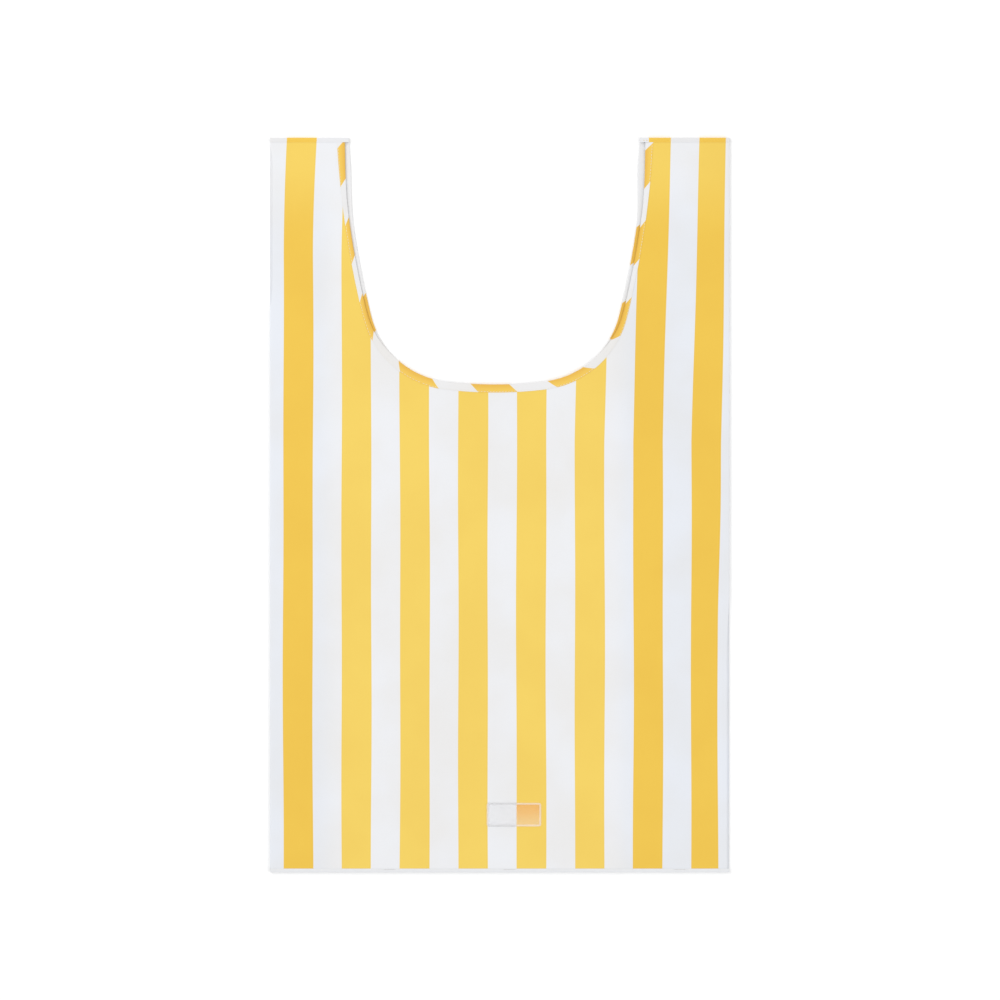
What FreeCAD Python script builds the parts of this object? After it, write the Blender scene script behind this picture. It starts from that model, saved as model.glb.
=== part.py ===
import FreeCAD, Part

import math
import os

import Sketcher

# A vest-shaped tote bag, laid flat with its front up, in millimetres.
# +X is to the right, +Y towards the handles and +Z up. The origin is under the middle of the bag.
# The cloth is laid as four layers: back panel, back gusset halves, front gusset halves, front panel.

doc = FreeCAD.newDocument("foldable_tote")
sizes = doc.addObject("Spreadsheet::Sheet", "Sizes")

DRIVING_SIZES = {
    # the bag laid flat
    "bag_width": 400,
    "bag_height": 640,
    "gusset_depth": 75,  # one half, from the outer fold to the inner crease
    # the cloth and its layers
    "cloth": 0.4,
    "layer_gap": 0.3,
    # the neck scoop, measured on the outer edge of its binding
    "left_strap_width": 65,
    "right_strap_width": 73,
    "scoop_depth": 215,
    "scoop_lean": 23,  # how far each side leans in from the top down to the corner
    "scoop_bottom_turn": 7,  # degrees from the middle to the corner
    "scoop_corner_radius": 76,
    "scoop_corner_turn": 76,  # degrees at the corner's upper end
    # the hand opening between gusset halves
    "armhole_setback": 6,  # from the scoop's edge to the armhole's, at the top
    "armhole_depth": 215,
    "armhole_radius": 1400,
    # the bias tape
    "binding_width": 7,
    "binding_wall": 0.2,
    "tuck": 6,  # how far the cloth's raw edge goes into the tape
    "tongue": 0.2,  # thickness of the cloth's edge pressed inside the tape
    # seams
    "bottom_seam_width": 3,
    "top_seam_width": 3.5,
    "side_seam_width": 7,
    # fold lines
    "side_fold": 66.7,  # from the middle of the bag
    "handle_fold_down": 186,  # from the top of the bag
    "strap_bend_down": 170,
    # room for the front to swing up
    "mouth_gap": 0.5,
    "loop_gap": 0.3,
    # the rubber badge
    "badge_width": 47.5,
    "badge_height": 20.5,
    "badge_across": 12.4,  # its centre, from the bag's middle line
    "badge_up": 50.3,  # its centre, from the bag's lower edge
    "badge_base": 0.4,
    "badge_rim": 0.2,
    "badge_rim_width": 1.4,
    "badge_corner": 2,
}

for row, (alias, value) in enumerate(DRIVING_SIZES.items(), start=1):
    sizes.set(f"A{row}", alias)
    sizes.set(f"B{row}", str(value))
    sizes.setAlias(f"B{row}", alias)
doc.recompute()

# Places that several pieces share, as formulas of the driving sizes.
HALF_WIDTH = "Sizes.bag_width / 2"
TOP = "Sizes.bag_height / 2"
BOTTOM = "-Sizes.bag_height / 2"
PITCH = "(Sizes.cloth + Sizes.layer_gap)"
FOLD_OUTER = "(2 * Sizes.cloth + Sizes.layer_gap) / 2"
FOLD_LINE = f"({HALF_WIDTH} - {FOLD_OUTER})"
CREASE = f"({HALF_WIDTH} - Sizes.gusset_depth)"
STACK = f"(3 * {PITCH} + Sizes.cloth)"
BINDING_THICK = "(2 * Sizes.binding_wall + Sizes.tongue)"
SCOOP_CENTRE = "((Sizes.left_strap_width - Sizes.right_strap_width) / 2)"
SCOOP_HALF = "((Sizes.bag_width - Sizes.left_strap_width - Sizes.right_strap_width) / 2)"
SCOOP_BOTTOM = f"({TOP} - Sizes.scoop_depth)"
CORNER_RUN = (
    "Sizes.scoop_corner_radius * (sin(Sizes.scoop_corner_turn) - sin(Sizes.scoop_bottom_turn))"
)
BOTTOM_RADIUS = (
    f"(({SCOOP_HALF} - Sizes.scoop_lean - {CORNER_RUN}) / sin(Sizes.scoop_bottom_turn))"
)
HANDLE_FOLD = f"({TOP} - Sizes.handle_fold_down)"
STRAP_BEND = f"({TOP} - Sizes.strap_bend_down)"
ARMHOLE_BOTTOM = f"({TOP} - Sizes.armhole_depth)"
BOUND = "Sizes.binding_width"
RAW_EDGE = "(Sizes.binding_width - Sizes.tuck)"
CLEAR_OF_BAG = 20  # how far cutting shapes run past the cloth


def size(formula):
    """The value of a formula of the sheet's cells."""
    found = sizes.evalExpression(str(formula))
    return float(getattr(found, "Value", found))


def bind(thing, **formulas):
    """Ties properties of an object to formulas."""
    for name, formula in formulas.items():
        thing.setExpression(name, formula)
    return thing


def place(thing, across="0", up="0", high="0"):
    """Ties the position of an object to formulas."""
    thing.setExpression(".Placement.Base.x", across)
    thing.setExpression(".Placement.Base.y", up)
    thing.setExpression(".Placement.Base.z", high)
    return thing


def block(name, left, right, low, high, under, over):
    """A box between six places."""
    box = doc.addObject("Part::Box", name)
    bind(box, Length=f"{right} - ({left})", Width=f"{high} - ({low})", Height=f"{over} - ({under})")
    return place(box, left, low, under)


def cut(name, base, tool):
    result = doc.addObject("Part::Cut", name)
    result.Base = base
    result.Tool = tool
    return result


def common(name, base, tool):
    result = doc.addObject("Part::Common", name)
    result.Base = base
    result.Tool = tool
    return result


def fuse(name, shapes):
    result = doc.addObject("Part::MultiFuse", name)
    result.Shapes = shapes
    result.Refine = True
    return result


def arc_centre(start, end, radius, turn):
    """Centre of the arc from start to end; turn is 1 for anticlockwise, -1 for clockwise."""
    chord = end - start
    reach = math.sqrt(max(radius**2 - (chord.Length / 2) ** 2, 0))
    across = FreeCAD.Vector(-chord.y, chord.x, 0).normalize()
    return (start + end) / 2 + across * reach * turn


def outline(body, plane, corners, edges):
    """A closed sketch through corners, each a pair of formulas.

    Edge number i runs from corner i to the next one. It is None for a line, ("radius", formula, turn)
    for an arc, or ("centre", formula, turn) for a half circle with its centre that far across.
    """
    sketch = body.newObject("Sketcher::SketchObject", body.Name + "_outline")
    support = [o for o in body.Origin.OriginFeatures if o.Role == plane][0]
    sketch.AttachmentSupport = [(support, "")]
    sketch.MapMode = "FlatFace"
    places = [FreeCAD.Vector(size(x), size(y), 0) for x, y in corners]
    ends = []
    for number, edge in enumerate(edges):
        start, end = places[number], places[(number + 1) % len(places)]
        if edge is None:
            geometry = sketch.addGeometry(Part.LineSegment(start, end))
            ends.append((geometry, 1, 2))
            continue
        kind, formula, turn = edge
        if kind == "radius":
            centre = arc_centre(start, end, size(formula), turn)
        else:
            centre = FreeCAD.Vector(size(formula), (start.y + end.y) / 2, 0)
        first, last = (start, end) if turn > 0 else (end, start)
        angles = [math.atan2(p.y - centre.y, p.x - centre.x) for p in (first, last)]
        circle = Part.Circle(centre, FreeCAD.Vector(0, 0, 1), (start - centre).Length)
        geometry = sketch.addGeometry(Part.ArcOfCircle(circle, *angles))
        ends.append((geometry, 1, 2) if turn > 0 else (geometry, 2, 1))
        if kind == "radius":
            rule = sketch.addConstraint(Sketcher.Constraint("Radius", geometry, size(formula)))
        else:
            rule = sketch.addConstraint(Sketcher.Constraint("DistanceX", geometry, 3, centre.x))
        sketch.setExpression(f"Constraints[{rule}]", formula)
    for number, (geometry, first, last) in enumerate(ends):
        following, next_first, _ = ends[(number + 1) % len(ends)]
        sketch.addConstraint(Sketcher.Constraint("Coincident", geometry, last, following, next_first))
        for direction, value, formula in zip("XY", places[number], corners[number]):
            rule = sketch.addConstraint(Sketcher.Constraint("Distance" + direction, geometry, first, value))
            sketch.setExpression(f"Constraints[{rule}]", formula)
    return sketch


def extruded(name, plane, corners, edges, length):
    """A body with one outline padded by a formula."""
    body = doc.addObject("PartDesign::Body", name)
    pad = body.newObject("PartDesign::Pad", name + "_pad")
    pad.Profile = outline(body, plane, corners, edges)
    return body, bind(pad, Length=length)


# The cutting shapes of the neck and the armholes. Each is made three times: at the outer edge of
# the tape, at the raw edge of the cloth inside it, and at the inner edge of the tape.
CUTTER_TOP = f"{TOP} + {CLEAR_OF_BAG}"
CUTTER_HEIGHT = f"{STACK} + 2 * {CLEAR_OF_BAG}"


def scoop_cutter(name, setback):
    """The neck's shape, its edge moved into the cloth by setback."""
    base_radius = f"({BOTTOM_RADIUS} + {setback})"
    corner_radius = f"(Sizes.scoop_corner_radius + {setback})"
    step = f"({BOTTOM_RADIUS} - Sizes.scoop_corner_radius)"
    turn_in, turn_out = "Sizes.scoop_bottom_turn", "Sizes.scoop_corner_turn"
    low_half = f"{base_radius} * sin({turn_in})"
    low_up = f"{SCOOP_BOTTOM} + {BOTTOM_RADIUS} - {base_radius} * cos({turn_in})"
    high_half = f"({step} * sin({turn_in}) + {corner_radius} * sin({turn_out}))"
    high_up = (
        f"{SCOOP_BOTTOM} + {BOTTOM_RADIUS} - {step} * cos({turn_in})"
        f" - {corner_radius} * cos({turn_out})"
    )
    top_half = f"({SCOOP_HALF} + {setback})"
    # The side arc leaves the corner in its direction and ends at the strap's width.
    rise = size(f"{TOP} - ({high_up})")
    run = size(f"{top_half} - {high_half}")
    bend = 2 * (math.atan2(rise, run) - math.radians(size(turn_out)))
    side_radius = str(math.hypot(rise, run) / (2 * math.sin(abs(bend) / 2)))
    side = ("radius", side_radius, 1 if bend > 0 else -1)
    corners = [
        (f"{SCOOP_CENTRE} - {low_half}", low_up),
        (f"{SCOOP_CENTRE} + {low_half}", low_up),
        (f"{SCOOP_CENTRE} + {high_half}", high_up),
        (f"{SCOOP_CENTRE} + {top_half}", TOP),
        (f"{SCOOP_CENTRE} + {top_half}", CUTTER_TOP),
        (f"{SCOOP_CENTRE} - {top_half}", CUTTER_TOP),
        (f"{SCOOP_CENTRE} - {top_half}", TOP),
        (f"{SCOOP_CENTRE} - {high_half}", high_up),
    ]
    corner = ("radius", corner_radius, 1)
    edges = [("radius", base_radius, 1), corner, side, None, None, None, side, corner]
    body, _ = extruded(name, "XY_Plane", corners, edges, CUTTER_HEIGHT)
    return place(body, high=f"-{CLEAR_OF_BAG}")


def armhole_cutter(name, side, setback):
    """The hand opening's shape on one side, -1 for left, its edge moved into the gusset by setback."""
    foot = f"{side} * ({CREASE} + {setback})"
    head = f"{SCOOP_CENTRE} + {side} * ({SCOOP_HALF} + Sizes.armhole_setback + {setback})"
    inside = f"{side} * ({CREASE} - {CLEAR_OF_BAG})"
    low = f"{ARMHOLE_BOTTOM} - {setback}"
    corners = [(foot, low), (head, TOP), (head, CUTTER_TOP), (inside, CUTTER_TOP), (inside, low)]
    edge = ("radius", f"(Sizes.armhole_radius + {setback})", side)
    body, _ = extruded(name, "XY_Plane", corners, [edge, None, None, None, None], CUTTER_HEIGHT)
    return place(body, high=f"-{CLEAR_OF_BAG}")


SIDES = {"left": -1, "right": 1}
EDGES = {"outer": "0", "raw": RAW_EDGE, "bound": BOUND}
scoop = {edge: scoop_cutter(f"scoop_{edge}", setback) for edge, setback in EDGES.items()}
armhole = {
    (side, edge): armhole_cutter(f"armhole_{side}_{edge}", sign, setback)
    for side, sign in SIDES.items()
    for edge, setback in EDGES.items()
}


def tongue_level(under):
    """Lower and upper face of the thin edge that goes into a tape whose layer starts at under."""
    low = f"({under} + Sizes.binding_wall)"
    return low, f"({low} + Sizes.tongue)"


def gusset_half(name, side, outer_face, direction, low, high):
    """The fold round the bag's outer edge and the gusset half behind it, one section along Y.

    outer_face is the height of the panel's outside, and direction is 1 where the gusset lies above it.
    """

    def level(depth):
        return f"{outer_face} + {direction} * ({depth})"

    fold = f"{side} * {FOLD_LINE}"
    crease = f"{side} * {CREASE}"
    far_face = f"{PITCH} + Sizes.cloth"
    corners = [
        (fold, level("0")),
        (fold, level(far_face)),
        (crease, level(far_face)),
        (crease, level(PITCH)),
        (fold, level(PITCH)),
        (fold, level("Sizes.cloth")),
    ]
    turn = side * direction
    edges = [("centre", fold, turn), None, None, None, ("centre", fold, -turn), None]
    # The sketch plane faces -Y, so the pad runs back from the far end.
    body, _ = extruded(name, "XZ_Plane", corners, edges, f"{high} - ({low})")
    return place(body, up=high)


class Panel:
    """One cloth, front or back: its panel, both gusset halves and their tapes."""

    def __init__(self, name, panel_under, gusset_under, direction, low, high):
        outer_face = panel_under if direction > 0 else f"({panel_under} + Sizes.cloth)"
        self.cloth = [self.outer_layer(name, panel_under, low, high)]
        self.neck_tape = None
        self.armhole_tape = {}
        halves = []
        for side, sign in SIDES.items():
            stem = f"{name}_gusset_{side}"
            folded = gusset_half(stem, sign, outer_face, direction, low, high)
            halves.append(cut(stem + "_trimmed", folded, armhole[side, "bound"]))
            inner, fold = sorted((f"{sign} * {CREASE}", f"{sign} * {FOLD_LINE}"), key=size)
            under, over = tongue_level(gusset_under)
            thin = block(stem + "_thin", inner, fold, low, high, under, over)
            halves.append(cut(stem + "_tongue", thin, armhole[side, "raw"]))
            band_over = f"{gusset_under} + {BINDING_THICK}"
            band = block(stem + "_band", inner, fold, low, high, gusset_under, band_over)
            ring = common(stem + "_ring", band, armhole[side, "bound"])
            self.armhole_tape[side] = cut(stem + "_open_ring", ring, armhole[side, "outer"])
        self.cloth += halves
        self.cloth = fuse(f"{name}_cloth", self.cloth)
        band = block(
            f"{name}_band",
            f"-{FOLD_LINE}",
            FOLD_LINE,
            low,
            high,
            panel_under,
            f"{panel_under} + {BINDING_THICK}",
        )
        ring = common(f"{name}_ring", band, scoop["bound"])
        self.neck_tape = cut(f"{name}_neck", cut(f"{name}_open_ring", ring, scoop["outer"]), self.cloth)
        for side, ring in self.armhole_tape.items():
            self.armhole_tape[side] = cut(f"{name}_armhole_{side}", ring, self.cloth)

    def outer_layer(self, name, under, low, high):
        """The flat of the panel, with its thin edge for the neck tape."""
        left, right = f"-{FOLD_LINE}", FOLD_LINE
        flat = block(f"{name}_flat", left, right, low, high, under, f"{under} + Sizes.cloth")
        thin_under, thin_over = tongue_level(under)
        thin = block(f"{name}_thin", left, right, low, high, thin_under, thin_over)
        trimmed = cut(f"{name}_flat_trimmed", flat, scoop["bound"])
        tongue = cut(f"{name}_tongue", thin, scoop["raw"])
        return fuse(f"{name}_outer", [trimmed, tongue])


BACK_LOW = f"({BOTTOM} + Sizes.bottom_seam_width)"
BACK_HIGH = f"({TOP} - Sizes.top_seam_width)"
FRONT_LOW = f"({BACK_LOW} + Sizes.mouth_gap)"
FRONT_HIGH = f"({BACK_HIGH} - Sizes.loop_gap)"
panels = {
    "back": Panel("back", "0", PITCH, 1, BACK_LOW, BACK_HIGH),
    "front": Panel("front", f"3 * {PITCH}", f"2 * {PITCH}", -1, FRONT_LOW, FRONT_HIGH),
}

# The windows between fold lines, through which each cloth and tape is seen as one node.
PAST_SIDE = f"{HALF_WIDTH} + {CLEAR_OF_BAG}"
PAST_END = f"{TOP} + {CLEAR_OF_BAG}"
BELOW, ABOVE = f"-{CLEAR_OF_BAG}", f"{STACK} + {CLEAR_OF_BAG}"


def window(name, left, right, low, high):
    return block(f"window_{name}", left, right, low, high, BELOW, ABOVE)


windows = {"centre": window("centre", "-Sizes.side_fold", "Sizes.side_fold", f"-({PAST_END})", PAST_END)}
STRETCHES = {
    "side": (f"-({PAST_END})", HANDLE_FOLD),
    "shoulder": (HANDLE_FOLD, STRAP_BEND),
    "strap": (STRAP_BEND, PAST_END),
}
for side, sign in SIDES.items():
    ends = (f"-({PAST_SIDE})", "-Sizes.side_fold") if sign < 0 else ("Sizes.side_fold", PAST_SIDE)
    for stretch, (low, high) in STRETCHES.items():
        windows[side, stretch] = window(f"{side}_{stretch}", *ends, low, high)

nodes = []
for name, panel in panels.items():
    nodes.append(common(f"{name}_panel_centre", panel.cloth, windows["centre"]))
    nodes.append(common(f"{name}_neck_binding_centre", panel.neck_tape, windows["centre"]))
    for side in SIDES:
        for stretch, word in {"side": "panel", "shoulder": "shoulder", "strap": "strap"}.items():
            seen = windows[side, stretch]
            tail = side if stretch == "side" else f"{side}_{stretch}"
            nodes.append(common(f"{name}_{word}_{side}", panel.cloth, seen))
            nodes.append(common(f"{name}_neck_binding_{tail}", panel.neck_tape, seen))
            nodes.append(common(f"{name}_armhole_binding_{tail}", panel.armhole_tape[side], seen))


# Seams. The bottom seam closes all four layers, and the handle seams close each strap's top.
def seam(name, left, right, low, high, under="0", over=STACK):
    node = block(name, left, right, low, high, under, over)
    nodes.append(node)
    return node


seam("bottom_seam_centre", "-Sizes.side_fold", "Sizes.side_fold", BOTTOM, BACK_LOW)
seam("bottom_seam_left", f"-{HALF_WIDTH}", "-Sizes.side_fold", BOTTOM, BACK_LOW)
seam("bottom_seam_right", "Sizes.side_fold", HALF_WIDTH, BOTTOM, BACK_LOW)
seam("handle_seam_left", f"-{HALF_WIDTH}", f"-{HALF_WIDTH} + Sizes.left_strap_width", BACK_HIGH, TOP)
seam("handle_seam_right", f"{HALF_WIDTH} - Sizes.right_strap_width", HALF_WIDTH, BACK_HIGH, TOP)
SEAM_UNDER, SEAM_OVER = PITCH, f"{PITCH} + {BINDING_THICK}"
SEAM_HIGH = f"({ARMHOLE_BOTTOM} - {BOUND})"
for side, sign in SIDES.items():
    across = (f"{sign} * {CREASE}", f"{sign} * ({CREASE} - Sizes.side_seam_width)")
    left, right = sorted(across, key=size)
    seam(f"side_seam_{side}", left, right, BACK_LOW, SEAM_HIGH, SEAM_UNDER, SEAM_OVER)


def badge():
    """The rubber badge near the bottom: a rounded plate with a raised rim."""
    body = doc.addObject("PartDesign::Body", "badge")
    half_wide, half_tall = "Sizes.badge_width / 2", "Sizes.badge_height / 2"

    def rectangle(inset):
        wide, tall = f"({half_wide} - {inset})", f"({half_tall} - {inset})"
        corners = [(f"-{wide}", f"-{tall}"), (wide, f"-{tall}"), (wide, tall), (f"-{wide}", tall)]
        return outline(body, "XY_Plane", corners, [None] * 4)

    plate = body.newObject("PartDesign::Pad", "badge_plate")
    plate.Profile = rectangle("0")
    bind(plate, Length="Sizes.badge_base + Sizes.badge_rim")
    doc.recompute()
    upright = [
        f"Edge{number}"
        for number, edge in enumerate(plate.Shape.Edges, start=1)
        if abs(edge.tangentAt(edge.FirstParameter).z) > 0.9
    ]
    rounded = body.newObject("PartDesign::Fillet", "badge_corners")
    rounded.Base = (plate, upright)
    bind(rounded, Radius="Sizes.badge_corner")
    hollow = body.newObject("PartDesign::Pocket", "badge_face")
    hollow.Profile = rectangle("Sizes.badge_rim_width")
    hollow.Profile[0].AttachmentOffset = FreeCAD.Placement(
        FreeCAD.Vector(0, 0, size("Sizes.badge_base + Sizes.badge_rim")), FreeCAD.Rotation()
    )
    hollow.Profile[0].setExpression(".AttachmentOffset.Base.z", "Sizes.badge_base + Sizes.badge_rim")
    bind(hollow, Length="Sizes.badge_rim")
    place(body, "Sizes.badge_across", f"{BOTTOM} + Sizes.badge_up", STACK)
    nodes.append(body)


badge()
doc.recompute()

# The checks before anything is written.
for thing in doc.Objects:
    if "Invalid" in thing.State or "Error" in thing.State:
        raise RuntimeError(f"{thing.Name} failed: {thing.State}")
for node in nodes:
    node.Label = node.Name
    shape = node.Shape
    if shape.isNull() or not shape.isValid() or not shape.Solids:
        raise RuntimeError(f"{node.Label} has no valid solid")

os.makedirs("parts", exist_ok=True)
for node in nodes:
    node.Shape.exportStep(f"parts/{node.Label}.step")
    box = node.Shape.BoundBox
    print(
        f"{node.Label:36s} solids {len(node.Shape.Solids)}  volume {node.Shape.Volume:9.1f}"
        f"  x {box.XMin:7.1f} {box.XMax:7.1f}  y {box.YMin:7.1f} {box.YMax:7.1f}"
        f"  z {box.ZMin:5.2f} {box.ZMax:5.2f}"
    )
print(len(nodes), "nodes")
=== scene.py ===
# %% [markdown]
# # A foldable tote bag, laid flat
# The bag is thin striped cloth with a scooped neck and two flat handles. Its shape comes from an
# engineering model that is already packed, so this lesson only dresses it. Every piece below
# stands where its solid stands, and those tied to a body's empty move with it.

# %% Load the imported frame
import bpy
import numpy as np
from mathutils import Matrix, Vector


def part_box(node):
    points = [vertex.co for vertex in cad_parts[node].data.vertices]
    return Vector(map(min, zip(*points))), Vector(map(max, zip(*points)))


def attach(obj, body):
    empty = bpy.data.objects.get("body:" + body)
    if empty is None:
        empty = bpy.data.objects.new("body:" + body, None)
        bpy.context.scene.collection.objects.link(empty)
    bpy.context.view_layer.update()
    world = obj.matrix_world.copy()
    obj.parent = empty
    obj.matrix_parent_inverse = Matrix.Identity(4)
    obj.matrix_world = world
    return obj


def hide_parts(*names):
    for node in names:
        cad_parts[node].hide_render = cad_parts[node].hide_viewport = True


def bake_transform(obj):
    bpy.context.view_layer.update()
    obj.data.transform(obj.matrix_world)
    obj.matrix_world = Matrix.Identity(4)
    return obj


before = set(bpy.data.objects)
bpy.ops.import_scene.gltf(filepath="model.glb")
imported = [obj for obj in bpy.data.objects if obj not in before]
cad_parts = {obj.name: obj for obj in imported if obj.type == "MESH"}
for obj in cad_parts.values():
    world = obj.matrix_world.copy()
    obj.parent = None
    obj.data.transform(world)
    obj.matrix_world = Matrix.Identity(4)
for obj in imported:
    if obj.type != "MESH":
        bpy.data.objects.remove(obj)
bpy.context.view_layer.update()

# %% [markdown]
# The camera comes first. The photograph looks straight down with a long lens, so nothing
# converges. A wide lens close to the bag would show its edges from the side, and a parallel
# camera would need its own scale, so a long lens far away is the simple way.

# %% Camera straight above
MM = 0.001
SENSOR, LENS = 36.0, 200.0
VIEW_WIDTH = 871.5 * MM
VIEW_CENTRE = (0.25 * MM, 4.35 * MM)

camera_data = bpy.data.cameras.new("camera")
camera_data.lens, camera_data.sensor_width = LENS, SENSOR
camera = bpy.data.objects.new("camera", camera_data)
camera.location = (*VIEW_CENTRE, VIEW_WIDTH * LENS / SENSOR)
bpy.context.scene.collection.objects.link(camera)
bpy.context.scene.camera = camera
print("camera height", round(camera.location.z, 3), "m")

# %% [markdown]
# The light is a white room with a large soft lamp high on the left and a weaker one low on the
# right. A small lamp would draw hard shadows beside cloth that is under half a millimetre thick.
# The floor is a pale card that the light turns white.

# %% Soft room and floor
ROOM_STRENGTH = 0.92
world = bpy.data.worlds.new("room")
bpy.context.scene.world = world
world.use_nodes = True
background = world.node_tree.nodes["Background"]
background.inputs["Color"].default_value = (1.0, 1.0, 1.0, 1.0)
background.inputs["Strength"].default_value = ROOM_STRENGTH


def soft_lamp(name, place, size, power):
    """A square lamp that faces the middle of the bag."""
    data = bpy.data.lights.new(name, "AREA")
    data.shape, data.size, data.energy = "SQUARE", size, power
    lamp = bpy.data.objects.new(name, data)
    lamp.location = place
    lamp.rotation_euler = (-lamp.location).to_track_quat("-Z", "Y").to_euler()
    bpy.context.scene.collection.objects.link(lamp)


soft_lamp("lamp_high_left", (-1.5, 1.3, 1.7), 1.6, 18.0)
soft_lamp("lamp_low_right", (1.8, -1.2, 1.6), 1.8, 9.0)
bpy.context.scene.view_settings.view_transform = "Standard"

# %% [markdown]
# Places are read from the frame, so the pieces follow the solids if those change. All working
# lengths below are millimetres, and only the finished meshes are turned to metres.

# %% Places read from the solids


def box_mm(node):
    """A solid's lowest and highest corner, in millimetres."""
    low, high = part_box(node)
    return np.array(low) / MM, np.array(high) / MM


FOLD_X = box_mm("front_panel_centre")[1][0]
EDGE_X = box_mm("front_panel_right")[1][0]
HANDLE_FOLD_Y = box_mm("front_panel_left")[1][1]
BEND_Y = box_mm("front_shoulder_left")[1][1]
BOTTOM_Y = box_mm("bottom_seam_centre")[0][1]
CLOTH_BOTTOM_Y = box_mm("bottom_seam_centre")[1][1]
TOP_Y = box_mm("handle_seam_left")[1][1]
SEAM_Y = box_mm("handle_seam_left")[0][1]
CREASE_X, SIDE_SEAM_TOP_Y = box_mm("side_seam_right")[1][:2]
SIDES = {"left": -1, "right": 1}
print("fold", FOLD_X, "edge", EDGE_X, "handle fold", HANDLE_FOLD_Y, "bend", BEND_Y)
print("bottom", BOTTOM_Y, "top", TOP_Y, "seam", SEAM_Y, "crease", CREASE_X)

# %% Thicknesses and heights of the layers
CLOTH, LINING, TAPE_WALL, BAND_WALL, RIB = 0.3, 0.24, 0.13, 0.14, 0.4
BACK_Z, FRONT_MID_Z = 0.30, 2.30
GUSSET_BACK_Z, GUSSET_FRONT_Z = 0.75, 1.85
TAPE_HALF_GAP = 0.265
CLOTH_EDGE_X = EDGE_X - CLOTH / 2
print("layers at", BACK_Z, GUSSET_BACK_Z, GUSSET_FRONT_Z, FRONT_MID_Z)

# %% Small helpers for smooth steps


def smooth(t):
    """0 below 0, 1 above 1, and three t squared minus two t cubed between."""
    t = np.clip(t, 0.0, 1.0)
    return t * t * (3.0 - 2.0 * t)


def bump(t, middle, half):
    """1 at the middle, falling smoothly to 0 at half on each side."""
    return smooth(1.0 - np.abs(t - middle) / half)


# %% [markdown]
# The neck is one smooth scoop. It is easiest to describe by how its heading turns: slowly along
# the bottom, quickly round each corner, slowly again up the handles. Adding up the heading gives
# the curve, and no separate arcs have to be fitted together.

# %% The neck's curve
NECK_X = -4.0
NECK_LOW_Y = TOP_Y - 215.0
NECK_HALF = 292.4
NECK_LENGTHS = np.array([0.0, 43.6, 135.1, NECK_HALF])
NECK_HEADINGS = np.radians([0.0, 7.0, 76.0, 87.2])


def neck_table(step=0.1):
    """Distance from the middle, x, y and heading: the heading runs straight from one named value
    to the next, and x and y are the running sums of its cosine and sine."""
    s = np.arange(0.0, NECK_HALF + 4.0, step)
    h = np.interp(s, NECK_LENGTHS, NECK_HEADINGS)
    x = np.concatenate([[0.0], np.cumsum(np.cos((h[1:] + h[:-1]) / 2) * step)])
    y = np.concatenate([[0.0], np.cumsum(np.sin((h[1:] + h[:-1]) / 2) * step)])
    return s, x, y + NECK_LOW_Y, h


S, SX, SY, SH = neck_table()


def neck_point(p, w):
    """A point at distance p along the neck from its middle (left is negative) and w inside the
    cloth: the curve's point plus w times the normal that points away from the opening."""
    a = np.abs(p)
    side = np.where(p < 0, -1.0, 1.0)
    h = np.interp(a, S, SH)
    x = NECK_X + side * (np.interp(a, S, SX) + w * np.sin(h))
    y = np.interp(a, S, SY) - w * np.cos(h)
    return x, y


FRONT_ROLL = 3.0
BACK_SHOWS_LEFT, BACK_SHOWS_RIGHT = 3.4, 4.8


def front_inset(p):
    """How far the front layer's edge is rolled under: about 3 mm along the handles' inner sides,
    and nothing at the bottom of the scoop and at the tops."""
    return FRONT_ROLL * smooth((np.abs(p) - 85.0) / 60.0) * smooth((300.0 - np.abs(p)) / 75.0)


def back_reach(p):
    """How far the back layer's edge reaches into the opening: it shows beside the front at the
    tops of the handles, more on the right."""
    reach = np.where(p < 0, BACK_SHOWS_LEFT, BACK_SHOWS_RIGHT)
    return reach * smooth((np.abs(p) - 212.0) / 60.0)


def layer_shift(p, layer):
    """How far into the cloth a layer's edge lies from the solids' neck."""
    return front_inset(p) if layer == "front" else -back_reach(p)


CLOTH_INSET = 5.5


def edge_line(side, layer):
    """One half of the line where a layer's cloth ends, hidden inside the tape."""
    reach = layer_shift(side * S, layer) if layer == "back" else 0.0
    return neck_point(side * S, CLOTH_INSET + reach)


EDGES = {(side, layer): edge_line(side, layer) for side in (-1, 1) for layer in ("front", "back")}


def neck_height(x, layer):
    """The neck's y above a place x: read along the half of the edge that x belongs to."""
    left, right = (
        np.interp(side * x, side * EDGES[side, layer][0], EDGES[side, layer][1]) for side in (-1, 1)
    )
    return np.where(x < NECK_X, left, right)


def neck_side(y, side, layer):
    """The neck's x at a height y on one side (-1 left, 1 right)."""
    return np.interp(y, EDGES[side, layer][1], EDGES[side, layer][0])


print("neck ends", neck_point(np.array([-NECK_HALF, NECK_HALF]), 0.0))

# %% The armholes' curve
ARM_RADIUS = 1400.0
ARM_START = np.array([CREASE_X, NECK_LOW_Y])
ARM_END_X = {-1: 141.0, 1: 133.0}


def armhole_side(y, side):
    """How far out the gusset's armhole edge is at height y: a straight run from the crease to the
    handle's top, plus the shallow bow of a circle of ARM_RADIUS through both ends."""
    end = np.array([ARM_END_X[side], TOP_Y])
    run = np.clip((y - ARM_START[1]) / (end[1] - ARM_START[1]), 0.0, 1.0)
    length = np.hypot(*(end - ARM_START))
    bow = run * (1 - run) * length**2 / (2 * ARM_RADIUS)
    return ARM_START[0] + run * (end[0] - ARM_START[0]) - bow


print("armhole at the handle fold", armhole_side(HANDLE_FOLD_Y, -1), armhole_side(HANDLE_FOLD_Y, 1))

# %% [markdown]
# Cloth never lies quite flat or quite straight. Two smooth functions say so for the whole bag:
# how far the stripes lean sideways, and how high the cloth ripples. Because every piece reads the
# same two functions, the places where pieces meet don't show.

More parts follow.
